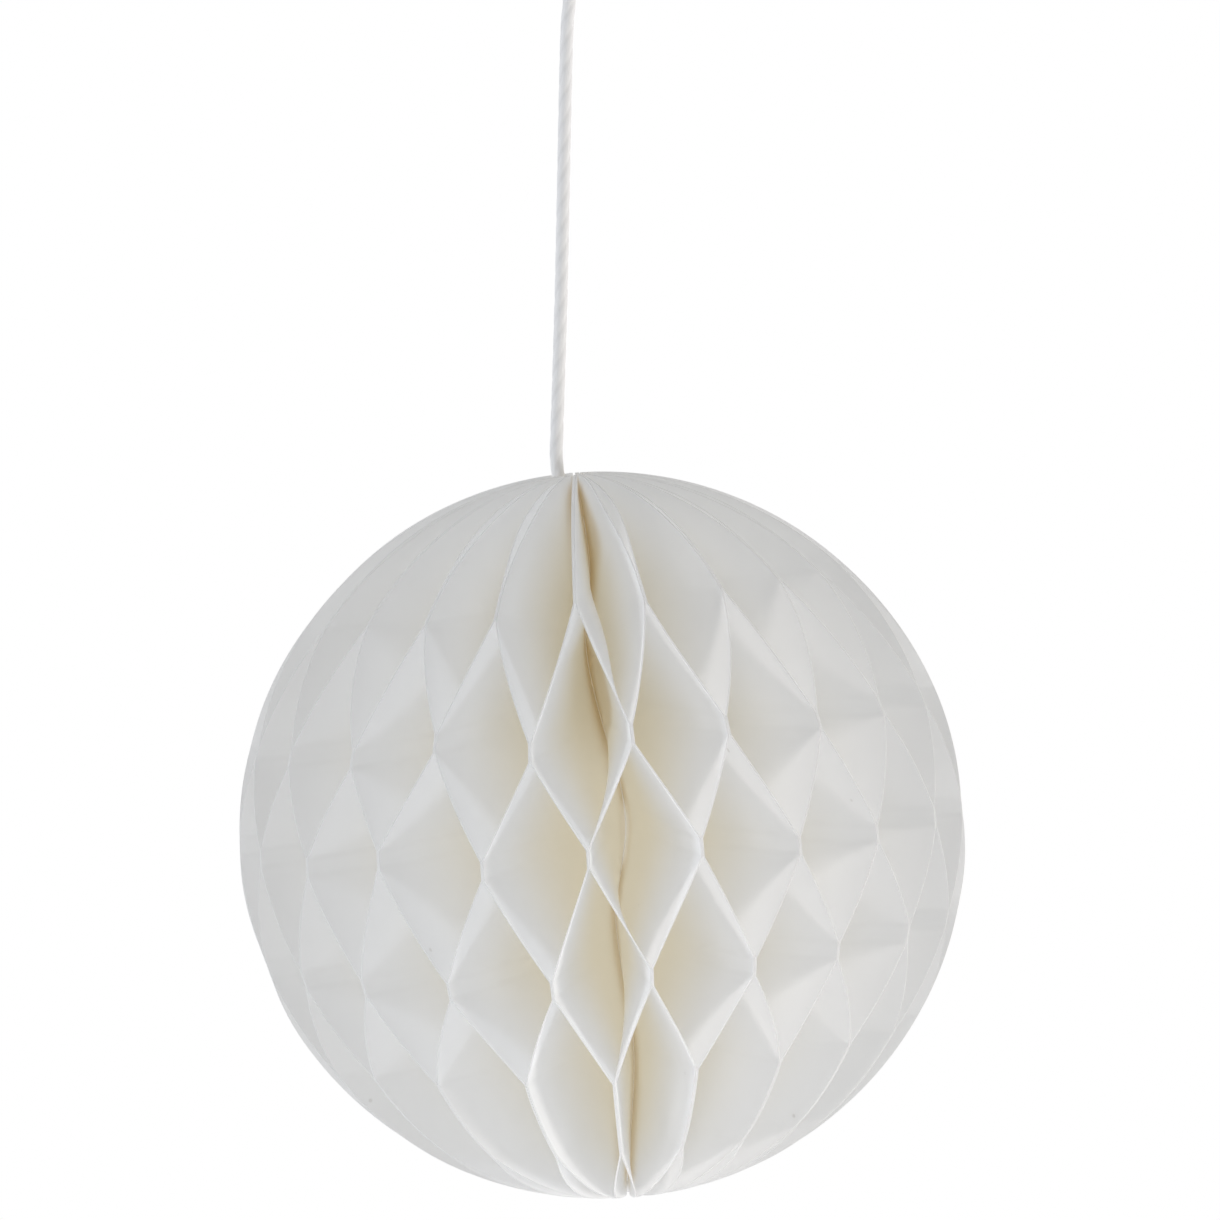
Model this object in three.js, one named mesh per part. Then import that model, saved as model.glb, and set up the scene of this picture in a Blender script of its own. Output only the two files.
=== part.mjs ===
// A honeycomb paper ball on a twisted cord, in millimetres with +Z up.
//
// Half-round leaves of paper are glued to each other in rows of short stripes: one row glues each leaf
// to its left neighbour, the next row to its right one. Fanned out round the spine, the leaves fold to
// and fro between the rows, and the space between them opens into diamond cells. The cord comes up the
// hollow spine from a stop knot and ends in a knotted loop. The ball hangs a little askew on it, and the
// front is towards -Y.
//
// The origin is the point of the loop that a hook bears on.
import * as THREE from "three";

const { clamp, degToRad, inverseLerp, lerp } = THREE.MathUtils;

// The ball and its leaves.
const BALL_RADIUS = 50;
const LEAF_PAIRS = 22;
const PAPER_THICKNESS = 0.2;
const GLUE_THICKNESS = 0.06;
const SPINE_PLAY = 0.2; // spare radius where the inner edges of the leaves crowd together
const UPPER_EYE_CUT = 0.5; // how far the leaves are cut back from the spine at the upper pole
const CORD_NICHE = 1.4; // how much further they are cut back there on the left, for the cord
const LOWER_EYE_CUT = 1;
const EYE_DEPTH = 9; // over which an eye narrows to the hollow of the spine
const LEAF_TIP_WIDTH = 0.6;

// The glue rows from the top down. A row leans: it is higher on the right of the ball by its lean.
const GLUE_ROWS = [
  { height: 35.2, lean: 1.8 },
  { height: 17.1, lean: 0.6 },
  { height: 2.0, lean: -0.5 },
  { height: -13.5, lean: 0.1 },
  { height: -28.7, lean: 0.3 },
];
const GLUE_STRIPE_HEIGHT = 2.4;
const FRONT_STRIPE_AZIMUTH = degToRad(-2);

// How far the leaves of a glued pair part again at the poles: 1 is evenly spaced, 2 meets the next leaf.
const TOP_OPENING = 0.03;
const BOTTOM_OPENING = 1.9;

// Where they part at the bottom, as shares of the way from the last row to the lower pole.
const PARTING_STARTS = 0.49;
const PARTING_ENDS = 0.9;

// How the ball hangs: its top leans to the left and to the front, and its upper pole is beside the cord.
const LEAN_LEFT = degToRad(5.65);
const LEAN_FORWARD = degToRad(4.6);
const POLE = new THREE.Vector3(2.75, -0.8, -90);

// The cord and its knots.
const CORD_DIAMETER = 1.8;
const LOOP_KNOT_RADIUS = 2.8;
const LOOP_KNOT_HEIGHT = 5;
const STOP_KNOT_HEIGHT = 4.6;
const KNOT_SHOULDER = 0.9; // radius of a knot where it starts to close in, as a share of its widest
const KNOT_WAIST = 0.3; // height of those shoulders above and below the middle, as a share of the knot's
const SEAT_GAP = 0.3; // between pieces that bear on each other

// The route of the cord from the top of the spine to the loop's knot, with heights above the ball's pole.
const CORD_ROUTE = [
  [3.6, -0.1, -8.6],
  [3.45, -0.17, -7.5],
  [2.6, -0.18, -5.3],
  [1.45, -0.1, -3.0],
  [0.5, -0.03, -0.8],
  [0.05, 0, 1.6],
  [0, 0, 5],
  [0.04, 0, 11],
  [0.08, 0.02, 18],
  [0.1, 0.04, 25],
  [0.08, 0.05, 32],
  [0.04, 0.05, 39],
  [0, 0.04, 46],
  [-0.03, 0.02, 53],
  [-0.03, 0, 60],
  [0, 0, 69.7],
];

// Half of the loop, from the knot to its top, as distance from the middle and height.
const LOOP_ROUTE = [
  [1.1, -14.7],
  [1.55, -12.8],
  [2.5, -10.4],
  [3.5, -7.7],
  [4.05, -4.7],
  [3.6, -1.8],
  [2.1, 0.2],
  [0, 0.9],
];

// Facets.
const STEPS_PER_FOLD = 3;
const STEPS_TO_TIP = 4;
const CORD_STEP = 4.5;
const KNOT_SIDES = 12;

const paper = new THREE.MeshStandardMaterial({ color: 0xe4e1da, roughness: 0.92, metalness: 0 });
const twine = new THREE.MeshStandardMaterial({ color: 0xdededc, roughness: 0.85, metalness: 0 });

const leafCount = 2 * Math.round(LEAF_PAIRS);
const leafPitch = (2 * Math.PI) / leafCount;
const halfBond = (PAPER_THICKNESS + GLUE_THICKNESS) / 2; // from the glue's middle to the leaf's middle
const spineRadius = (leafCount * halfBond) / Math.PI + SPINE_PLAY;
const halfStripe = GLUE_STRIPE_HEIGHT / 2;

// A leaf's own place in the fan, and the radii of the eyes at its tips: the upper one is wider for the cord.
const ownPlace = (leaf) => FRONT_STRIPE_AZIMUTH + leafPitch * (leaf - 0.5);
const upperEye = (leaf) => spineRadius + UPPER_EYE_CUT + CORD_NICHE * Math.max(-Math.sin(ownPlace(leaf)), 0);
const lowerEye = spineRadius + LOWER_EYE_CUT;

// The leaf's outer edge is a half circle, and its tips are where that meets the eyes.
const outerRadius = (height) => Math.sqrt(BALL_RADIUS ** 2 - height ** 2);
const tipHeight = (eye) => Math.sqrt(BALL_RADIUS ** 2 - (eye + LEAF_TIP_WIDTH) ** 2);
const lowerTip = -tipHeight(lowerEye);

// Its inner edge is straight along the spine, and cut back at both ends to leave the eyes.
function innerRadius(height, eye) {
  const depth = tipHeight(eye) - Math.abs(height);
  return lerp(spineRadius, eye, clamp(1 - depth / EYE_DEPTH, 0, 1));
}

// A row is glued where it lies wholly on the leaves, also on those that are cut back furthest.
const shortestTip = tipHeight(spineRadius + Math.max(UPPER_EYE_CUT + CORD_NICHE, LOWER_EYE_CUT));
const liesOnLeaves = ({ height, lean }) => Math.abs(height) + Math.abs(lean) + halfStripe < shortestTip;
const glueRows = GLUE_ROWS.filter(liesOnLeaves);

// The stripe that glues a leaf in a row. Odd rows glue the pairs of leaves that even rows leave apart,
// and the leaf lies beside the middle of the glue, on the side away from its neighbour.
function stripeOf(leaf, row, index) {
  const shift = index % 2;
  const pair = Math.floor((leaf + shift) / 2);
  const azimuth = FRONT_STRIPE_AZIMUTH + leafPitch * (2 * pair - shift);
  const side = (leaf + shift) % 2 === 0 ? -1 : 1;
  return {
    height: row.height + row.lean * Math.sin(azimuth),
    azimuthAt: (radius) => azimuth + side * Math.asin(halfBond / radius),
  };
}

// The leaf's stations from the upper pole to the lower one: a height, and the azimuth at any radius.
function stationsOf(leaf) {
  const stripes = glueRows.map((row, index) => stripeOf(leaf, row, index));

  // From a stripe's end to a tip, at even steps of latitude, while the glued leaves part again.
  const towardsTip = (stripe, stripeEnd, tip, openingAt) => {
    const from = Math.asin(stripeEnd / BALL_RADIUS);
    const to = Math.asin(tip / BALL_RADIUS);
    return Array.from({ length: STEPS_TO_TIP }, (_, i) => {
      const share = (i + 1) / STEPS_TO_TIP;
      return {
        height: BALL_RADIUS * Math.sin(lerp(from, to, share)),
        azimuthAt: (radius) => lerp(stripe.azimuthAt(radius), ownPlace(leaf), openingAt(share)),
      };
    });
  };

  const parted = (share) => clamp(inverseLerp(PARTING_STARTS, PARTING_ENDS, share), 0, 1);
  const topOpening = (share) => TOP_OPENING * share ** 2;
  const bottomOpening = (share) => BOTTOM_OPENING * parted(share);
  const upperTip = tipHeight(upperEye(leaf));
  const first = stripes[0];
  const last = stripes.at(-1);

  const stations = towardsTip(first, first.height + halfStripe, upperTip, topOpening).reverse();
  stripes.forEach((stripe, i) => {
    stations.push({ height: stripe.height + halfStripe, azimuthAt: stripe.azimuthAt });
    stations.push({ height: stripe.height - halfStripe, azimuthAt: stripe.azimuthAt });
    const next = stripes[i + 1];
    if (!next) return;
    // The fold swings evenly from this stripe over to the next one.
    for (let step = 1; step < STEPS_PER_FOLD; step++) {
      const share = step / STEPS_PER_FOLD;
      stations.push({
        height: lerp(stripe.height - halfStripe, next.height + halfStripe, share),
        azimuthAt: (radius) => lerp(stripe.azimuthAt(radius), next.azimuthAt(radius), share),
      });
    }
  });
  return stations.concat(towardsTip(last, last.height - halfStripe, lowerTip, bottomOpening));
}

// A leaf is a thin board, cut to the half circle and folded: its width runs out from the spine, its
// height down the stations, and its depth is the paper.
function leafGeometry(leaf) {
  const stations = stationsOf(leaf);
  const steps = stations.length - 1;
  const geometry = new THREE.BoxGeometry(1, 1, 1, 1, steps, 1);
  const position = geometry.attributes.position;
  for (let i = 0; i < position.count; i++) {
    const { height, azimuthAt } = stations[Math.round((0.5 - position.getY(i)) * steps)];
    const outward = position.getX(i) + 0.5;
    const eye = height > 0 ? upperEye(leaf) : lowerEye;
    const radius = lerp(innerRadius(height, eye), outerRadius(height), outward);
    const azimuth = azimuthAt(radius);
    const offset = position.getZ(i) * PAPER_THICKNESS;
    position.setXYZ(
      i,
      radius * Math.sin(azimuth) - offset * Math.cos(azimuth),
      -radius * Math.cos(azimuth) - offset * Math.sin(azimuth),
      height,
    );
  }

  // Each square is two triangles. On the back they meet along the same diagonal as on the front, so that
  // the paper keeps its thickness where it twists.
  const index = geometry.index.array;
  const back = geometry.groups[5];
  for (let i = back.start; i < back.start + back.count; i += 6) {
    const [a, b, d, , c] = index.slice(i, i + 6);
    index.set([a, b, c, a, c, d], i);
  }
  geometry.computeVertexNormals();
  return geometry;
}

function cordGeometry(points) {
  const route = new THREE.CatmullRomCurve3(points);
  const section = new THREE.Shape().absarc(0, 0, CORD_DIAMETER / 2, 0, 2 * Math.PI);
  return new THREE.ExtrudeGeometry(section, {
    extrudePath: route,
    steps: Math.round(route.getLength() / CORD_STEP),
    curveSegments: 4,
    bevelEnabled: false,
  });
}

// A pulled-tight knot as a barrel along +Z, with a flat at each end where the cord comes out.
function knotGeometry(radius, height) {
  const flat = CORD_DIAMETER;
  const profile = [
    [0, -0.5],
    [flat, -0.5],
    [radius * KNOT_SHOULDER, -KNOT_WAIST],
    [radius, 0],
    [radius * KNOT_SHOULDER, KNOT_WAIST],
    [flat, 0.5],
    [0, 0.5],
  ].map(([x, share]) => new THREE.Vector2(x, share * height));
  return new THREE.LatheGeometry(profile, KNOT_SIDES).rotateX(Math.PI / 2);
}

function addMesh(parent, name, geometry, material) {
  const mesh = new THREE.Mesh(geometry, material);
  mesh.name = name;
  parent.add(mesh);
  return mesh;
}

const garland = new THREE.Group();

// The ball is built upright round its own middle, then leaned over and hung by its upper pole.
const ball = new THREE.Group();
ball.rotation.set(LEAN_FORWARD, -LEAN_LEFT, 0, "YXZ");
ball.position.copy(POLE).sub(new THREE.Vector3(0, 0, BALL_RADIUS).applyEuler(ball.rotation));
garland.add(ball);

for (let leaf = 0; leaf < leafCount; leaf++) {
  addMesh(ball, `leaf_${String(leaf + 1).padStart(2, "0")}`, leafGeometry(leaf), paper);
}

// The stop knot fills the lower eye, too wide to be drawn up the spine.
const stopKnotHeight = lowerTip + STOP_KNOT_HEIGHT / 2;
const stopKnotRadius = innerRadius(stopKnotHeight, lowerEye) - SEAT_GAP;
const stopKnot = addMesh(ball, "stop_knot", knotGeometry(stopKnotRadius, STOP_KNOT_HEIGHT), twine);
stopKnot.position.z = stopKnotHeight;

const spineEnds = [stopKnotHeight + STOP_KNOT_HEIGHT / 2 + SEAT_GAP, BALL_RADIUS - EYE_DEPTH];
addMesh(ball, "spine_cord", cordGeometry(spineEnds.map((z) => new THREE.Vector3(0, 0, z))), twine);

const cordPoints = CORD_ROUTE.map(([x, y, height]) => new THREE.Vector3(x, y, POLE.z + height));
addMesh(garland, "hanging_cord", cordGeometry(cordPoints), twine);

const loopKnot = addMesh(garland, "loop_knot", knotGeometry(LOOP_KNOT_RADIUS, LOOP_KNOT_HEIGHT), twine);
loopKnot.position.z = LOOP_ROUTE[0][1] - SEAT_GAP - LOOP_KNOT_HEIGHT / 2;

const loopLeft = LOOP_ROUTE.map(([x, z]) => new THREE.Vector3(-x, 0, z));
const loopRight = LOOP_ROUTE.slice(0, -1).map(([x, z]) => new THREE.Vector3(x, 0, z));
addMesh(garland, "hanging_loop", cordGeometry([...loopLeft, ...loopRight.reverse()]), twine);

export default garland;
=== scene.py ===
import math

import bpy
import numpy as np
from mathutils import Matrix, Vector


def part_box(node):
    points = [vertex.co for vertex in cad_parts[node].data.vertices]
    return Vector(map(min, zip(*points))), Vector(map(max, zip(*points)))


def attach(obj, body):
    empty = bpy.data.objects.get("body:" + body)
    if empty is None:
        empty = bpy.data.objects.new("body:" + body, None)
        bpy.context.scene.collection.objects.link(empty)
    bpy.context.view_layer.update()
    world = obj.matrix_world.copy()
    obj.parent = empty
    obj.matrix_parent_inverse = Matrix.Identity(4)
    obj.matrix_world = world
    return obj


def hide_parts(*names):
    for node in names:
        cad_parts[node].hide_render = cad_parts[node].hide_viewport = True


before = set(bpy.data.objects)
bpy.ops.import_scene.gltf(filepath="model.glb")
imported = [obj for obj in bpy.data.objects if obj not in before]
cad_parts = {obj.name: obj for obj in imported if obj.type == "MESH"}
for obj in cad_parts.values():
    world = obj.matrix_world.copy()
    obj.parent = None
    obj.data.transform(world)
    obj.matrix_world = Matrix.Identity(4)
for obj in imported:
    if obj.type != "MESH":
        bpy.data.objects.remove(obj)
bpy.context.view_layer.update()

# Paper leaves. Half-round sheets of off-white paper, glued to each other in rows of short stripes: one row
# glues a leaf to its left neighbour, the next row to its right one. They are fanned out round the spine, so
# that each leaf folds to and fro between the rows and the space between two of them opens into cells.
MM = 0.001
BALL_RADIUS = 50 * MM
PAPER_THICKNESS = 0.2 * MM
GLUE_THICKNESS = 0.06 * MM
SPINE_PLAY = 0.2 * MM  # spare radius where the inner edges of the leaves crowd together
UPPER_EYE_CUT = 0.5 * MM  # how far the leaves are cut back from the spine at the upper pole
CORD_NICHE = 1.4 * MM  # how much further they are cut back there on the left, for the cord
LOWER_EYE_CUT = 1 * MM
EYE_DEPTH = 9 * MM  # over which an eye narrows to the hollow of the spine
LEAF_TIP_WIDTH = 0.6 * MM
ROW_HEIGHTS = np.array([35.2, 17.1, 2.0, -13.5, -28.7]) * MM
ROW_LEANS = np.array([1.8, 0.6, -0.5, 0.1, 0.3]) * MM  # how much higher a row is on the right of the ball
STRIPE_HEIGHT = 2.4 * MM
FRONT_STRIPE = math.radians(-2)  # azimuth of the foremost stripe
TOP_OPENING = 0.03  # how far the leaves of a pair part again: 1 is evenly spaced, 2 meets the next leaf
BOTTOM_OPENING = 1.9
BOTTOM_PARTING = (0.31, 0.88)  # where they part on the way from the last stripe to the lower tip
TOP_GAPE = 0.75 * MM  # how far each leaf of the widest pairs bows out above the first row
GAPE_TURN = 1.3  # radians from one pair to the next, so that they gape unequally
LEAN_LEFT = math.radians(5.65)
LEAN_FORWARD = math.radians(4.6)
POLE = np.array([2.75, -0.8, -90]) * MM

# How far the inner edges lie to the right of the spine's middle at some heights in the ball.
SWAY_HEIGHTS = np.array([49, 38, 27, 2, -11, -29, -49]) * MM
SPINE_SWAYS = np.array([0, 0.8, -0.3, 3.1, 1.0, 1.9, 0]) * MM

# The right leaf of the foremost pair bows to the right, most of all half way in from its edge.
BOWED_LEAF = 1
BOW = 1.8 * MM
BOW_AT = 29 * MM
BOW_OVER = 7 * MM

# How far the stripes are out of line: by chance, and by row and pair, degrees to the right and mm up.
UNEVEN_ROWS = 0.25 * MM
UNEVEN_STRIPES = math.radians(0.3)
STRIPE_SLIPS = [
    (0, 0, 0, 1.0),
    (0, 1, -1.5, 0),
    (1, -1, 0, 1.6),
    (1, 1, 0, 1.1),
    (2, -2, -1.4, 1.2),
    (2, 0, -0.15, 0.75),
    (2, 1, 0.7, 1.2),
    (3, 0, 0.8, -0.9),
    (4, -1, 1.2, 0),
    (4, 0, 1.0, -0.7),
]

# How far the paper wavers between two stripes, and the least and most of each of its waves: radians to the
# metre along the leaf and across it, phase, and share of the whole.
COCKLE = 0.22 * MM
COCKLE_WAVES = 5
COCKLE_LEAST = (30, 10, 0, 0.3)
COCKLE_MOST = (150, 90, 2 * math.pi, 1)
CHANCE_SEED = 44

TIP_STEPS = 36
STRIPE_STEPS = 4
FOLD_STEPS = 20
COLUMNS = 14
PAPER_CREASE = math.radians(50)  # above which an edge of the mesh is sharp

PAPER_COLOUR = (0.895, 0.90, 0.90, 1)
PAPER_MOTTLE = (0.875, 0.88, 0.88, 1)
# The inner colour is painted shade: the darker, warmer light bounced deep in the cells.
PAPER_INNER_SHADE = (0.875, 0.83, 0.715, 1)
# The darker inner colour of the upper half is painted shade.
PAPER_INNER_SHADED_ABOVE = (0.78, 0.735, 0.62, 1)
# The brown at the spine is painted shade of the narrow slit between the leaves, paler low down.
PAPER_SHADED_AT_SPINE = (0.58, 0.45, 0.25, 1)
PAPER_SHADED_AT_LOWER_SPINE = (0.72, 0.62, 0.45, 1)
# The darker colour of the cut edge is painted shade, to dim the light it catches.
PAPER_EDGE_SHADE = (0.79, 0.79, 0.785, 1)
PAPER_GLOW = (0.93, 0.93, 0.925, 1)
DRIED_GLUE = (0.92, 0.89, 0.82, 1)
FLECK_COLOUR = (0.33, 0.30, 0.26, 1)
LIGHT_THROUGH = 0.62  # share of the light that the paper lets through
CUT_EDGE_SHADE = (0.045 * MM, 0.15 * MM)  # over which the painted shade on the cut edge ends, in from the outer edge
INNER_SHADE_DEPTH = (3 * MM, 33 * MM)  # over which the paper changes to its inner colour, painted shade of the deep cells, in from the outer edge
INNER_SHADE_HEIGHTS = (-138 * MM, -112 * MM)  # between which the inner paper turns darker on the way up, as painted shade
SPINE_SHADE_REACH = (2.5 * MM, 9.5 * MM)  # over which the brown painted shade at the spine fades out, from the spine's middle
SPINE_SHADE_DEPTH = (4 * MM, 14 * MM)  # and over which it comes in, in from the outer edge
SPINE_SHADE_HEIGHTS = (-131 * MM, -123 * MM)  # between which it deepens on the way up
GLUE_REACH = (3.5 * MM, 6 * MM)  # over which a run of dried glue at the spine ends
GLUE_HEIGHTS = (-145 * MM, -142 * MM, -137 * MM, -134 * MM)  # where it starts, is full, thins out and stops
MOTTLE_GRAINS = 90  # to the metre, as are the fibres and flecks
MOTTLE_RANGE = (0.3, 0.75)
FIBRE_GRAINS = 1800
FIBRE_STRETCH = (1, 1, 0.35)
FIBRE_BUMP = 0.12
FIBRE_RELIEF = 0.05 * MM
FLECK_GRAINS = 85
FLECK_RADII = (0.02, 0.035)  # over which a fleck ends, as shares of the flecks' spacing
FLECK_STRENGTH = 0.5

# Where the brown painted shade at the spine reaches further out on the left face of a leaf, or less far where
# the last number is negative: the leaf, the height in the ball, over how far up and down, and how much
# further, in mm.
SPINE_SHADE_LEFT_FACES = [
    (1, 20, 7, 16),
    (1, 29, 4, -12),
    (2, 42, 5, 6),
]
SPINE_SHADE_NEARER_RIGHT = 3 * MM  # how much nearer to the spine the painted shade fades out on the right faces

leaf_nodes = sorted(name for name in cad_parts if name.startswith("leaf_"))
leaf_pitch = 2 * math.pi / len(leaf_nodes)
half_bond = (PAPER_THICKNESS + GLUE_THICKNESS) / 2
spine_radius = len(leaf_nodes) * half_bond / math.pi + SPINE_PLAY
lower_eye = spine_radius + LOWER_EYE_CUT
lower_tip = -math.sqrt(BALL_RADIUS**2 - (lower_eye + LEAF_TIP_WIDTH) ** 2)
forward = np.array([[1, 0, 0],
                    [0, math.cos(LEAN_FORWARD), -math.sin(LEAN_FORWARD)],
                    [0, math.sin(LEAN_FORWARD), math.cos(LEAN_FORWARD)]])
sideways = np.array([[math.cos(LEAN_LEFT), 0, -math.sin(LEAN_LEFT)],
                     [0, 1, 0],
                     [math.sin(LEAN_LEFT), 0, math.cos(LEAN_LEFT)]])
ball_turn = sideways @ forward
ball_middle = POLE - ball_turn @ np.array([0, 0, BALL_RADIUS])
stretch_steps = np.array([TIP_STEPS, *[STRIPE_STEPS, FOLD_STEPS] * len(ROW_HEIGHTS)])
stretch_steps[-1] = TIP_STEPS
stretch_ends = np.concatenate([[0], np.cumsum(stretch_steps)])
chance = np.random.default_rng(CHANCE_SEED)
stripe_count = (len(ROW_HEIGHTS), len(leaf_nodes) // 2)
stripe_turns = chance.normal(0, UNEVEN_STRIPES, stripe_count)
stripe_rises = chance.normal(0, UNEVEN_ROWS, stripe_count)
for row, pair, degrees, rise in STRIPE_SLIPS:
    stripe_turns[row, pair] = math.radians(degrees)
    stripe_rises[row, pair] = rise * MM


def spine_sway(height):
    """How far the spine lies to the right at a height: a smooth step from each given height to the next."""
    number = np.arange(len(SWAY_HEIGHTS))
    place = np.interp(-height, -SWAY_HEIGHTS, number)
    share = place % 1
    return np.interp(np.floor(place) + share**2 * (3 - 2 * share), number, SPINE_SWAYS)


def upper_eye(leaf):
    """How far from the spine's middle a leaf begins at its upper tip: further on the left, for the cord."""
    own_place = FRONT_STRIPE + leaf_pitch * (leaf - 0.5)
    return spine_radius + UPPER_EYE_CUT + CORD_NICHE * max(-math.sin(own_place), 0)


def leaf_course(leaf):
    """Height, azimuth, side of the glue and gape from a leaf's upper tip to its lower one.

    At a stripe the azimuth is the stripe's own, and between two stripes it runs evenly from one to the other.
    Past the outermost stripes it turns by the opening from the stripe's place to the leaf's own in the fan,
    and the stripe's slip is gone where the leaves have parted fully at the bottom. The gape rises and falls
    once between the upper tip and the first stripe. Each stretch is cut into even steps of latitude.
    """
    row = np.arange(len(ROW_HEIGHTS))
    shift = row % 2
    pair = (leaf + shift) // 2
    slip = (row, pair % stripe_count[1])
    stripe_azimuth = FRONT_STRIPE + leaf_pitch * (2 * pair - shift) + stripe_turns[slip]
    stripe_side = np.where((leaf + shift) % 2 == 0, -1.0, 1.0)
    stripe_height = ROW_HEIGHTS + ROW_LEANS * np.sin(stripe_azimuth) + stripe_rises[slip]
    ends = (stripe_height[:, None] + np.array([0.5, -0.5]) * STRIPE_HEIGHT).ravel()
    upper_tip = math.sqrt(BALL_RADIUS**2 - (upper_eye(leaf) + LEAF_TIP_WIDTH) ** 2)
    knots = np.arcsin(np.concatenate([[upper_tip], ends, [lower_tip]]) / BALL_RADIUS)
    latitude = np.interp(np.arange(stretch_ends[-1] + 1), stretch_ends, knots)
    height = BALL_RADIUS * np.sin(latitude)
    azimuth = np.interp(-height, -ends, np.repeat(stripe_azimuth, 2))
    side = np.interp(-height, -ends, np.repeat(stripe_side, 2))
    to_top = np.clip((latitude - knots[1]) / (knots[0] - knots[1]), 0, 1)
    to_bottom = np.clip((latitude - knots[-2]) / (knots[-1] - knots[-2]), 0, 1)
    parted = np.interp(to_bottom, BOTTOM_PARTING, [0, 1])
    opening = TOP_OPENING * to_top**2 + BOTTOM_OPENING * parted
    slipped = np.interp(-height, -ends, np.repeat(stripe_turns[slip], 2))
    own_place = FRONT_STRIPE + leaf_pitch * (leaf - 0.5) + slipped * (1 - 1 / BOTTOM_OPENING)
    widest = stripe_side[0] * TOP_GAPE * math.sin(GAPE_TURN * pair[0]) ** 2
    gape = widest * np.sin(math.pi * to_top) ** 2
    return height, azimuth + (own_place - azimuth) * opening, side * (1 - opening), gape


def leaf_rings(leaf):
    """Rings of points round a leaf: out along its left face and back along its right one, at each height.

    The middle of the paper is at radius times (sin azimuth, -cos azimuth). The radius runs from the spine to
    the ball's round outline. The faces lie half a thickness to either side of it. The paper wavers by a sum
    of a few sines, which fades out at the stripes and towards the spine. Its inner part follows the spine's
    sway, by the square of the way in. The bowed leaf is moved aside by a bell over the height times a
    parabola over the radius, and its two neighbours go with it where they are glued to it.

    Also gives how far each point is in from the outer edge, and how far out from the spine's middle it counts
    as lying for the brown painted shade there: nearer on the more shaded left faces and further off on the
    right ones.
    """
    height, azimuth, side, gape = leaf_course(leaf)
    outward = np.sin(np.linspace(0, math.pi / 2, COLUMNS))
    upper_flare = np.clip(1 - (height[0] - height) / EYE_DEPTH, 0, 1)
    lower_flare = np.clip(1 - (height - height[-1]) / EYE_DEPTH, 0, 1)
    inner = spine_radius + (upper_eye(leaf) - spine_radius) * upper_flare + LOWER_EYE_CUT * lower_flare
    outer = np.sqrt(BALL_RADIUS**2 - height**2)
    radius = inner[:, None] + (outer - inner)[:, None] * outward
    along, across, phase, share = chance.uniform(COCKLE_LEAST, COCKLE_MOST, (COCKLE_WAVES, 4)).T
    swing = np.sin(along * height[:, None, None] + across * radius[:, :, None] + phase)
    waves = swing @ (share / share.sum())
    wander = COCKLE * (1 - side**2)[:, None] * waves + gape[:, None]
    angle = azimuth[:, None] + side[:, None] * np.arcsin(half_bond / radius) + wander * outward / radius
    level = np.broadcast_to(height[:, None], radius.shape)
    follows = {-1: np.clip(-side, 0, 1), 0: 1, 1: (1 + side) / 2}.get(leaf - BOWED_LEAF, 0)
    bow = BOW * np.exp(-((height - BOW_AT) / BOW_OVER) ** 2) * follows
    swayed = spine_sway(height)[:, None] * (1 - outward) ** 2 + bow[:, None] * 4 * outward * (1 - outward)
    middle = np.stack([radius * np.sin(angle) + swayed, -radius * np.cos(angle), level], axis=-1)
    aside = np.stack([np.cos(angle), np.sin(angle), np.zeros_like(angle)], axis=-1) * PAPER_THICKNESS / 2
    rings = np.concatenate([middle - aside, (middle + aside)[:, ::-1]], axis=1)
    both_faces = np.concatenate([radius, radius[:, ::-1]], axis=1)
    # Painted shade: the brown at the spine reaches further out on some left faces.
    further_shade = 0 * height
    for shaded_leaf, around, over, further in SPINE_SHADE_LEFT_FACES:
        if shaded_leaf == leaf:
            further_shade += further * MM * np.exp(-((height / MM - around) / over) ** 2)
    from_spine = np.concatenate([radius - further_shade[:, None], radius[:, ::-1] + SPINE_SHADE_NEARER_RIGHT], axis=1)
    return rings @ ball_turn.T + ball_middle, outer[:, None] - both_faces, from_spine


def ringed_piece(name, rings, material, sharp_angle):
    """A closed skin over rings of points: quads from each ring to the next, and a cap on both end rings.

    The rings run anticlockwise as seen from the first ring's side, so that the faces point outwards.
    """
    count, around = rings.shape[:2]
    corner = np.arange(count * around).reshape(count, around)
    after = np.roll(corner, -1, axis=1)
    quads = np.stack([corner[:-1], corner[1:], after[1:], after[:-1]], axis=-1)
    corners = np.concatenate([quads.ravel(), corner[0], corner[-1, ::-1]])
    sizes = np.concatenate([np.full(quads.size // 4, 4), [around, around]])
    mesh = bpy.data.meshes.new(name)
    mesh.vertices.add(count * around)
    mesh.vertices.foreach_set("co", rings.astype(np.float32).ravel())
    mesh.loops.add(len(corners))
    mesh.loops.foreach_set("vertex_index", corners.astype(np.int32))
    mesh.polygons.add(len(sizes))
    mesh.polygons.foreach_set("loop_start", (np.cumsum(sizes) - sizes).astype(np.int32))
    mesh.update(calc_edges=True)
    mesh.shade_smooth()
    mesh.set_sharp_from_angle(angle=sharp_angle)
    mesh.materials.append(material)
    piece = bpy.data.objects.new(name, mesh)
    bpy.context.scene.collection.objects.link(piece)
    return piece


def point_values(piece, name, values):
    """Keeps one number for each point of a piece, for its material to read."""
    attribute = piece.data.attributes.new(name, "FLOAT", "POINT")
    attribute.data.foreach_set("value", values.astype(np.float32).ravel())


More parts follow.
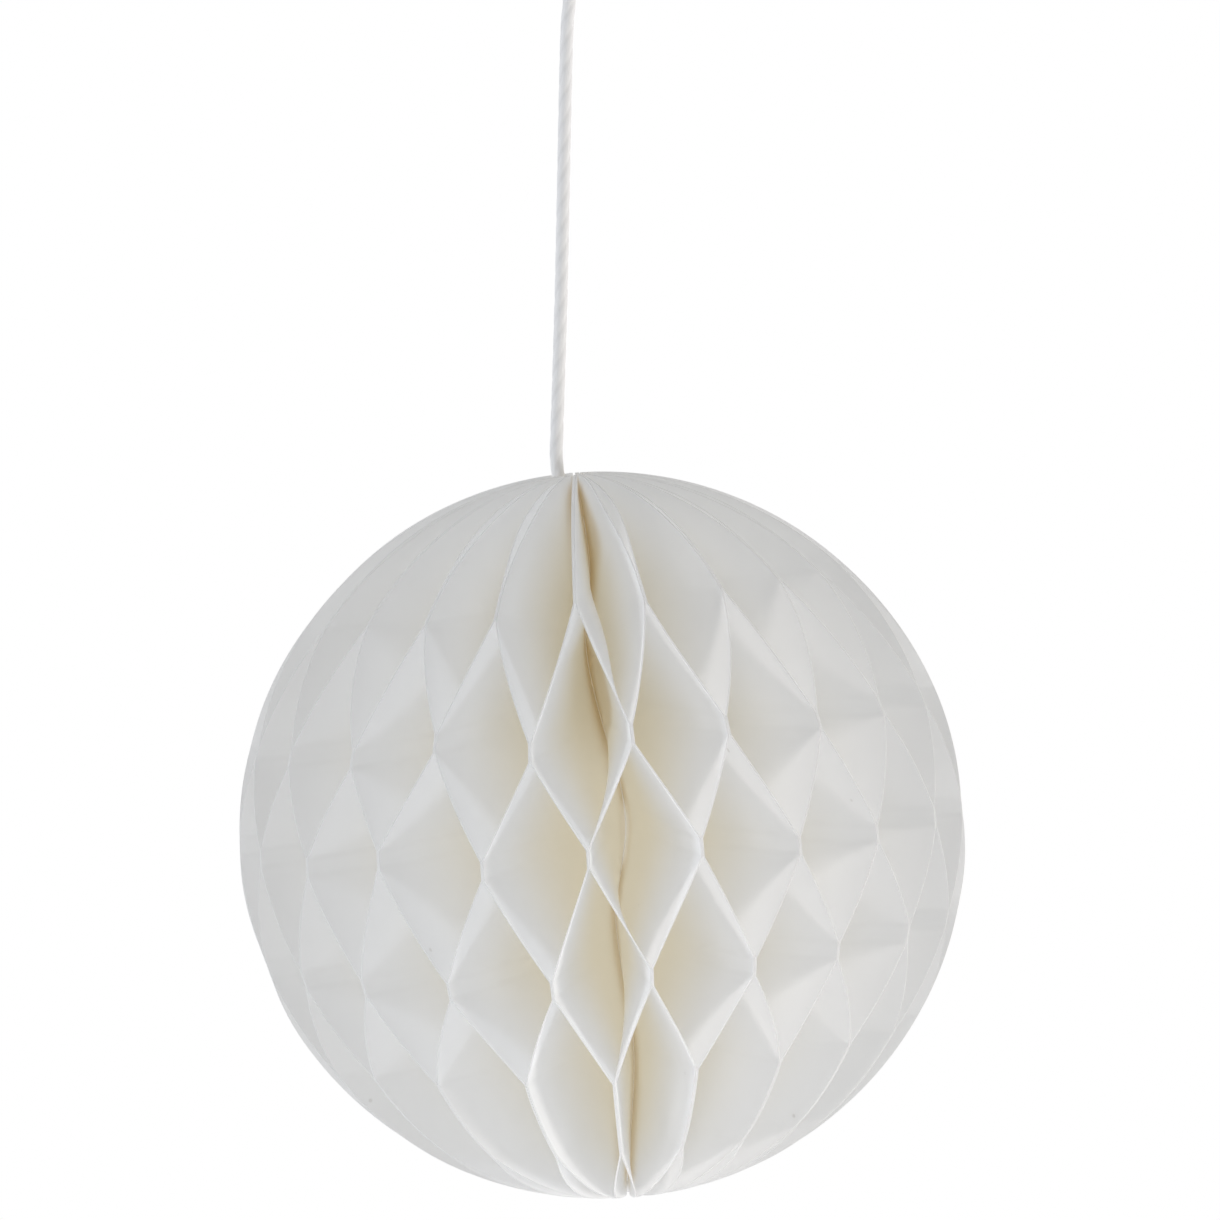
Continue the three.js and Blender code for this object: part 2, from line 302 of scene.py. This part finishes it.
class Shade:
    """A socket of a node tree. An expression on it adds the Math nodes that work it out."""

    def __init__(self, socket):
        self.socket = socket

    def node(self, kind, settings, inputs, output=0):
        """Adds a node of that kind: its settings first, then the values or links of its sockets."""
        tree = self.socket.id_data
        made = tree.nodes.new(kind)
        for name, value in settings.items():
            setattr(made, name, value)
        for name, value in inputs.items():
            if isinstance(value, Shade):
                tree.links.new(value.socket, made.inputs[name])
            else:
                made.inputs[name].default_value = value
        return Shade(made.outputs[output])

    def math(self, operation, *values):
        return self.node("ShaderNodeMath", {"operation": operation}, dict(enumerate(values)))

    def __add__(self, other):
        return self.math("ADD", self, other)

    __radd__ = __add__

    def __sub__(self, other):
        return self.math("SUBTRACT", self, other)

    def __rsub__(self, other):
        return self.math("SUBTRACT", other, self)

    def __mul__(self, other):
        return self.math("MULTIPLY", self, other)

    __rmul__ = __mul__

    def rise(self, low, high):
        """0 where the value is under low, 1 where it is over high, and a smooth step between."""
        steps = {"Value": self, "From Min": low, "From Max": high}
        return self.node("ShaderNodeMapRange", {"interpolation_type": "SMOOTHSTEP"}, steps)

    def tint(self, start, end):
        """The colour start where the value is 0, and end where it is 1."""
        return self.node("ShaderNodeMix", {"data_type": "RGBA"}, {0: self, 6: start, 7: end}, 2)

    def noise(self, coordinates, scale, detail, stretch=(1, 1, 1)):
        """Noise of that many grains to the metre, drawn out along the axes by the stretch."""
        place = self.node("ShaderNodeMapping", {}, {"Vector": coordinates, "Scale": stretch})
        return self.node("ShaderNodeTexNoise", {}, {"Vector": place, "Scale": scale, "Detail": detail})


def new_material(name):
    """An empty material, and the socket that its surface goes to."""
    material = bpy.data.materials.new(name)
    material.use_nodes = True
    material.node_tree.nodes.clear()
    output = material.node_tree.nodes.new("ShaderNodeOutputMaterial")
    return material, Shade(output.inputs["Surface"])


def join(surface, shader):
    """Links a shader to the socket that a surface goes to."""
    surface.socket.id_data.links.new(shader.socket, surface.socket)


def off_white_paper():
    """Matt paper that lets light through, with a soft mottle, fine fibres, rare flecks and a cut edge
    darkened by painted shade.

    From the outer edge inwards it turns cream, then darker in the upper half of the ball, then brown at the
    spine, where the brown is paler low down and a run of dried glue covers some of it. The cream, the darker
    upper half and the brown are painted shade of the deep, narrow cells.
    """
    material, surface = new_material("off_white_paper")
    place = surface.node("ShaderNodeTexCoord", {}, {}, "Object")
    inset = surface.node("ShaderNodeAttribute", {"attribute_name": "inset"}, {}, "Fac")
    from_spine = surface.node("ShaderNodeAttribute", {"attribute_name": "from_spine"}, {}, "Fac")
    height = surface.node("ShaderNodeSeparateXYZ", {}, {"Vector": place}, "Z")
    cloud = surface.noise(place, MOTTLE_GRAINS, 4)
    fibres = surface.noise(place, FIBRE_GRAINS, 3, FIBRE_STRETCH)
    cells = {"Vector": place, "Scale": FLECK_GRAINS}
    spots = surface.node("ShaderNodeTexVoronoi", {"feature": "F1"}, cells, "Distance")
    mottled = cloud.rise(*MOTTLE_RANGE).tint(PAPER_COLOUR, PAPER_MOTTLE)
    # Painted shade: the inner colour is darker in the upper half of the ball.
    inner = height.rise(*INNER_SHADE_HEIGHTS).tint(PAPER_INNER_SHADE, PAPER_INNER_SHADED_ABOVE)
    # Painted shade: the paper turns to the darker, warmer inner colour deeper in the cells.
    with_inner_shade = inset.rise(*INNER_SHADE_DEPTH).tint(mottled, inner)
    # Painted shade: brown at the spine, in the narrow slit between the leaves, paler low down.
    brown = inset.rise(*SPINE_SHADE_DEPTH) * (1 - from_spine.rise(*SPINE_SHADE_REACH))
    spine_shade_colour = height.rise(*SPINE_SHADE_HEIGHTS).tint(PAPER_SHADED_AT_LOWER_SPINE, PAPER_SHADED_AT_SPINE)
    with_spine_shade = brown.tint(with_inner_shade, spine_shade_colour)
    glue_run = height.rise(*GLUE_HEIGHTS[:2]) * (1 - height.rise(*GLUE_HEIGHTS[2:]))
    glued = glue_run * (1 - from_spine.rise(*GLUE_REACH))
    with_glue = glued.tint(with_spine_shade, DRIED_GLUE)
    # Painted shade: the cut edge is darker, to dim the light it catches.
    cut = 1 - inset.rise(*CUT_EDGE_SHADE)
    with_edge_shade = cut.tint(with_glue, PAPER_EDGE_SHADE)
    fleck = 1 - spots.rise(*FLECK_RADII)
    flecked = (fleck * FLECK_STRENGTH).tint(with_edge_shade, FLECK_COLOUR)
    relief = {"Height": fibres, "Strength": FIBRE_BUMP, "Distance": FIBRE_RELIEF}
    face = surface.node("ShaderNodeBsdfPrincipled", {}, {
        "Base Color": flecked,
        "Roughness": 0.9,
        "Specular IOR Level": 0.25,
        "Normal": surface.node("ShaderNodeBump", {}, relief),
    })
    through = surface.node("ShaderNodeBsdfTranslucent", {}, {"Color": PAPER_GLOW})
    join(surface, surface.node("ShaderNodeMixShader", {}, {0: LIGHT_THROUGH, 1: face, 2: through}))
    return material


paper = off_white_paper()
for leaf, node in enumerate(leaf_nodes):
    rings, inset, from_spine = leaf_rings(leaf)
    piece = ringed_piece(f"paper_{node}", rings, paper, PAPER_CREASE)
    point_values(piece, "inset", inset)
    point_values(piece, "from_spine", from_spine)
    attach(piece, "root")
    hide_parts(node)

# The cord. One length of soft white cord of three twisted strands: it comes up the hollow spine from the stop
# knot, leaves the ball through the eye beside its upper pole, and turns back on itself in the hanging loop.
CORD_DIAMETER = 1.8 * MM
STRANDS = 3
STRAND_LAY = 11 * MM  # one full turn of the strands
STRAND_GROOVE = 0.1  # depth of the groove between strands, as a share of the cord's radius
STRAND_CREASE = math.radians(60)  # above which an edge of the mesh is sharp
CORD_SIDES = 30
CORD_STEP = 0.35 * MM
CORD_ROUTE = np.array([
    [3.6, -0.1, -98.6],
    [3.45, -0.17, -97.5],
    [2.6, -0.18, -95.3],
    [1.45, -0.1, -93.0],
    [0.5, -0.03, -90.8],
    [0.05, 0, -88.4],
    [0, 0, -85],
    [0.04, 0, -79],
    [0.08, 0.02, -72],
    [0.1, 0.04, -65],
    [0.08, 0.05, -58],
    [0.04, 0.05, -51],
    [0, 0.04, -44],
    [-0.03, 0.02, -37],
    [-0.03, 0, -30],
    [0, 0, -20.3],
]) * MM
LOOP_ROUTE = np.array([
    [-0.95, 0, -16.6],
    [-1.1, 0, -14.7],
    [-1.55, 0, -12.8],
    [-2.5, 0, -10.4],
    [-3.5, 0, -7.7],
    [-4.05, 0, -4.7],
    [-3.6, 0, -1.8],
    [-2.1, 0, 0.2],
    [0, 0, 0.9],
    [2.1, 0, 0.2],
    [3.6, 0, -1.8],
    [4.05, 0, -4.7],
    [3.5, 0, -7.7],
    [2.5, 0, -10.4],
    [1.55, 0, -12.8],
    [1.1, 0, -14.7],
    [0.95, 0, -16.6],
]) * MM
STOP_KNOT_HEIGHT = 4.6 * MM
SEAT_GAP = 0.3 * MM  # between the stop knot and the cord above it
FRONT_TO_BACK = np.array([0, 1, 0])

CORD_COLOUR = (0.79, 0.79, 0.78, 1)
# The darker cord colour is painted shade in the grooves, and the darker tone between the fibres.
CORD_GROOVE_SHADE_AND_FIBRES = (0.70, 0.70, 0.69, 1)
YARN_GRAINS = 5200  # to the metre
YARN_STRETCH = (1, 1, 0.22)
YARN_RANGE = (0.35, 0.8)
YARN_SHADE = 0.3  # share of the darker colour between the fibres
YARN_BUMP = 0.5
YARN_RELIEF = 0.08 * MM
GROOVE_RANGE = (0.25, 1.0)
GROOVE_SHADE = 0.7  # share of the darker colour in the grooves, as painted shade


def smooth_route(points, step):
    """A curve through the points, in steps of about the given length.

    Each stretch is a cubic whose slope at a point is the mean slope over that point's two neighbours.
    """
    chord = np.concatenate([[0], np.cumsum(np.linalg.norm(np.diff(points, axis=0), axis=1))])
    slope = np.gradient(points, chord, axis=0)
    here = np.linspace(0, chord[-1], round(chord[-1] / step) + 1)
    start = np.clip(np.searchsorted(chord, here, "right") - 1, 0, len(points) - 2)
    length = (chord[start + 1] - chord[start])[:, None]
    share = (here - chord[start])[:, None] / length
    rest = 1 - share
    ends = points[start] * (1 + 2 * share) * rest**2 + points[start + 1] * (3 - 2 * share) * share**2
    return ends + length * share * rest * (slope[start] * rest - slope[start + 1] * share)


def cord_rings(path, reference):
    """Rings round a path: a circle with one shallow groove between each two strands, turning along the path.

    The radius falls by the groove where the cosine of the strands' angle passes zero. Also gives how deep in
    a groove each point is, from 0 on a strand's back to 1 in the groove.
    """
    run = np.concatenate([[0], np.cumsum(np.linalg.norm(np.diff(path, axis=0), axis=1))])
    heading = np.gradient(path, run, axis=0)
    heading /= np.linalg.norm(heading, axis=1, keepdims=True)
    beside = np.cross(reference, heading)
    beside /= np.linalg.norm(beside, axis=1, keepdims=True)
    above = np.cross(heading, beside)
    around = np.linspace(0, 2 * math.pi, CORD_SIDES, endpoint=False)
    groove = 1 - np.abs(np.cos(STRANDS / 2 * (around + 2 * math.pi * run[:, None] / STRAND_LAY)))
    radius = CORD_DIAMETER / 2 * (1 - STRAND_GROOVE * groove**2)
    circle = np.cos(around)[:, None] * beside[:, None] - np.sin(around)[:, None] * above[:, None]
    return path[:, None] + radius[:, :, None] * circle, groove


def white_cord():
    """Soft white yarn, with painted shade in the grooves between the strands and fine fibres along it."""
    material, surface = new_material("white_cord")
    place = surface.node("ShaderNodeTexCoord", {}, {}, "Object")
    groove = surface.node("ShaderNodeAttribute", {"attribute_name": "groove"}, {}, "Fac")
    fibres = surface.noise(place, YARN_GRAINS, 3, YARN_STRETCH)
    # Painted shade in the grooves, plus the darker tone between the fibres.
    shade = groove.rise(*GROOVE_RANGE) * GROOVE_SHADE + fibres.rise(*YARN_RANGE) * YARN_SHADE
    fuzz = {"Height": fibres, "Strength": YARN_BUMP, "Distance": YARN_RELIEF}
    join(surface, surface.node("ShaderNodeBsdfPrincipled", {}, {
        "Base Color": shade.tint(CORD_COLOUR, CORD_GROOVE_SHADE_AND_FIBRES),
        "Roughness": 0.88,
        "Specular IOR Level": 0.05,
        "Normal": surface.node("ShaderNodeBump", {}, fuzz),
    }))
    return material


def cord_piece(name, path, reference, *nodes):
    """A stretch of the cord along a path, standing for those nodes."""
    rings, groove = cord_rings(path, reference)
    piece = ringed_piece(name, rings, cord_yarn, STRAND_CREASE)
    point_values(piece, "groove", groove)
    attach(piece, "root")
    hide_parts(*nodes)
    return piece


cord_yarn = white_cord()
hanging_path = smooth_route(np.concatenate([CORD_ROUTE, LOOP_ROUTE]), CORD_STEP)
hanging_cord = cord_piece("cord_with_loop", hanging_path, FRONT_TO_BACK, "hanging_cord", "hanging_loop")

stop_knot_middle = lower_tip + STOP_KNOT_HEIGHT / 2
spine_foot = stop_knot_middle + STOP_KNOT_HEIGHT / 2 + SEAT_GAP
spine_head = BALL_RADIUS - EYE_DEPTH
spine_height = np.linspace(spine_foot, spine_head, round((spine_head - spine_foot) / CORD_STEP))
spine_line = np.stack([spine_sway(spine_height), 0 * spine_height, spine_height], axis=1)
spine_path = spine_line @ ball_turn.T + ball_middle
cord_piece("cord_in_spine", spine_path, FRONT_TO_BACK, "spine_cord")

# The knots. The loop is closed by a barrel knot, two turns of the cord's end round its standing part, and a
# like knot under the spine carries the ball.
LOOP_KNOT_RADIUS = 2.8 * MM
LOOP_KNOT_HEIGHT = 5 * MM
KNOT_TURNS = 2.4
KNOT_STEPS = 260
KNOT_DRAW = 0.55  # how far the turns draw in at both ends, as a share of their width
KNOT_DRAW_POWER = 6  # how late they do
KNOT_PEEK = 0.8 * MM  # how far the end of the knot under the spine shows below the leaves
UPRIGHT = np.array([0, 0, 1])
stop_knot_radius = lower_eye - LOWER_EYE_CUT * STOP_KNOT_HEIGHT / 2 / EYE_DEPTH - SEAT_GAP


def knot_path(radius, height):
    """Turns round the cord from the knot's foot to its head, which draw in to the middle at both ends."""
    share = np.linspace(0, 1, KNOT_STEPS)
    angle = 2 * math.pi * KNOT_TURNS * share
    width = (radius - CORD_DIAMETER / 2) * (1 - np.abs(2 * share - 1) ** KNOT_DRAW_POWER * KNOT_DRAW)
    rise = (height - CORD_DIAMETER) * (share - 0.5)
    return np.stack([width * np.cos(angle), width * np.sin(angle), rise], axis=1)


loop_knot_low, loop_knot_high = (np.array(corner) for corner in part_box("loop_knot"))
loop_knot_path = knot_path(LOOP_KNOT_RADIUS, LOOP_KNOT_HEIGHT) + (loop_knot_low + loop_knot_high) / 2
loop_knot = cord_piece("knot_of_loop", loop_knot_path, UPRIGHT, "loop_knot")

stop_knot_turns = knot_path(stop_knot_radius, STOP_KNOT_HEIGHT + KNOT_PEEK)
stop_knot_line = stop_knot_turns + [0, 0, stop_knot_middle - KNOT_PEEK / 2]
cord_piece("knot_under_spine", stop_knot_line @ ball_turn.T + ball_middle, UPRIGHT, "stop_knot")

# The setting. A pale floor well under the hanging ball, which fades into the white round it, an even white
# surround, a cool soft lamp on the left of the ball and a warm one on the right. After two bounces the light
# in the cells is taken as even, because so many pale leaves face each other.
FLOOR_DROP = 0.56
FLOOR_RADIUS = 1.6
FLOOR_SIDES = 96
FLOOR_FADE = (0.35 * FLOOR_RADIUS, 0.95 * FLOOR_RADIUS)  # over which it turns white, away from the ball
FLOOR_COLOUR = (0.86, 0.86, 0.86, 1)
WHITE = (1, 1, 1, 1)
SURROUND = (0.99, 0.985, 0.99, 1)
SURROUND_STRENGTH = 0.53
LAMPS = [  # place, width, power and colour
    ((-1.45, -0.5, -0.22), 0.45, 8.2, (0.82, 0.88, 1.0)),
    ((1.5, -0.35, -0.42), 0.45, 11.9, (1.0, 0.96, 0.945)),
]
TRACED_BOUNCES = 2
EVEN_LIGHT = 1.87  # times the light of the surround, on what a ray meets after those bounces
EVEN_LIGHT_REACH = 0.03 * MM  # within which another surface keeps it off

scene = bpy.context.scene
scene.view_settings.view_transform = "Standard"
scene.cycles.use_fast_gi = True
scene.cycles.fast_gi_method = "REPLACE"
scene.cycles.ao_bounces_render = TRACED_BOUNCES


def seen_rays(surface):
    """1 for rays that show the background, from the camera, in gloss and through glass, and 0 for others."""
    path = surface.node("ShaderNodeLightPath", {}, {}, "Is Camera Ray").socket.node.outputs
    seen = Shade(path["Is Camera Ray"]) + Shade(path["Is Glossy Ray"]) + Shade(path["Is Transmission Ray"])
    return seen.rise(0, 1) * (1 - Shade(path["Is Diffuse Ray"]))


def pale_floor():
    """Matt and pale under the ball, and white to the eye towards its edge."""
    material, surface = new_material("pale_floor")
    place = surface.node("ShaderNodeTexCoord", {}, {}, "Object")
    below = (ball_middle[0], ball_middle[1], 0)
    flat = surface.node("ShaderNodeVectorMath", {"operation": "MULTIPLY"}, {0: place, 1: (1, 1, 0)})
    away = surface.node("ShaderNodeVectorMath", {"operation": "DISTANCE"}, {0: flat, 1: below}, "Value")
    fade = away.rise(*FLOOR_FADE) * seen_rays(surface)
    matt = surface.node("ShaderNodeBsdfDiffuse", {}, {"Color": FLOOR_COLOUR})
    glow = surface.node("ShaderNodeEmission", {}, {"Color": WHITE, "Strength": 1})
    join(surface, surface.node("ShaderNodeMixShader", {}, {0: fade, 1: matt, 2: glow}))
    return material


around_floor = np.linspace(0, 2 * math.pi, FLOOR_SIDES, endpoint=False)
floor_rim = FLOOR_RADIUS * np.stack([np.cos(around_floor), np.sin(around_floor), 0 * around_floor], axis=1)
floor_points = floor_rim + ball_middle - [0, 0, BALL_RADIUS + FLOOR_DROP]
floor_mesh = bpy.data.meshes.new("floor")
floor_mesh.from_pydata(floor_points, [], [np.arange(FLOOR_SIDES)])
floor_mesh.materials.append(pale_floor())
floor = bpy.data.objects.new("floor", floor_mesh)
scene.collection.objects.link(floor)

world = bpy.data.worlds.new("white_surround")
world.use_nodes = True
world.node_tree.nodes.clear()
sky = Shade(world.node_tree.nodes.new("ShaderNodeOutputWorld").inputs["Surface"])
lit = sky.node("ShaderNodeBackground", {}, {"Color": SURROUND, "Strength": SURROUND_STRENGTH})
shown = sky.node("ShaderNodeBackground", {}, {"Color": WHITE, "Strength": 1})
join(sky, sky.node("ShaderNodeMixShader", {}, {0: seen_rays(sky), 1: lit, 2: shown}))
world.light_settings.distance = EVEN_LIGHT_REACH
world.light_settings.ao_factor = EVEN_LIGHT
scene.world = world

for number, (place, width, power, colour) in enumerate(LAMPS):
    lamp = bpy.data.objects.new(f"soft_lamp_{number}", bpy.data.lights.new(f"soft_lamp_{number}", "AREA"))
    lamp.data.shape = "DISK"
    lamp.data.size = width
    lamp.data.energy = power
    lamp.data.color = colour
    lamp.location = place
    away = np.array(place) - ball_middle
    away /= np.linalg.norm(away)
    lamp.rotation_euler = (math.acos(away[2]), 0, math.atan2(away[1], away[0]) + math.pi / 2)
    scene.collection.objects.link(lamp)

# The camera, level and 0.8 m in front of the ball, a little rolled, with the ball low in the picture. The
# ball's place and radius in the picture give the lens and where the camera stands.
IMAGE_WIDTH = 1220
BALL_AT_PIXEL = (602.5, 834.2)
BALL_RADIUS_PIXELS = 363.3
CAMERA_DISTANCE = 16 * BALL_RADIUS
CAMERA_ROLL = math.radians(1.45)
SENSOR_WIDTH = 36

focal_pixels = BALL_RADIUS_PIXELS * math.sqrt((CAMERA_DISTANCE / BALL_RADIUS) ** 2 - 1)
camera = bpy.data.objects.new("camera", bpy.data.cameras.new("camera"))
camera.data.sensor_width = SENSOR_WIDTH
camera.data.lens = SENSOR_WIDTH * focal_pixels / IMAGE_WIDTH
right = np.array([math.cos(CAMERA_ROLL), 0, math.sin(CAMERA_ROLL)])
up = np.array([-math.sin(CAMERA_ROLL), 0, math.cos(CAMERA_ROLL)])
ball_right = (BALL_AT_PIXEL[0] - IMAGE_WIDTH / 2) / focal_pixels * CAMERA_DISTANCE
ball_down = (BALL_AT_PIXEL[1] - IMAGE_WIDTH / 2) / focal_pixels * CAMERA_DISTANCE
camera.location = ball_middle - [0, CAMERA_DISTANCE, 0] - right * ball_right + up * ball_down
camera.rotation_euler = (math.pi / 2, -CAMERA_ROLL, 0)
scene.collection.objects.link(camera)
scene.camera = camera
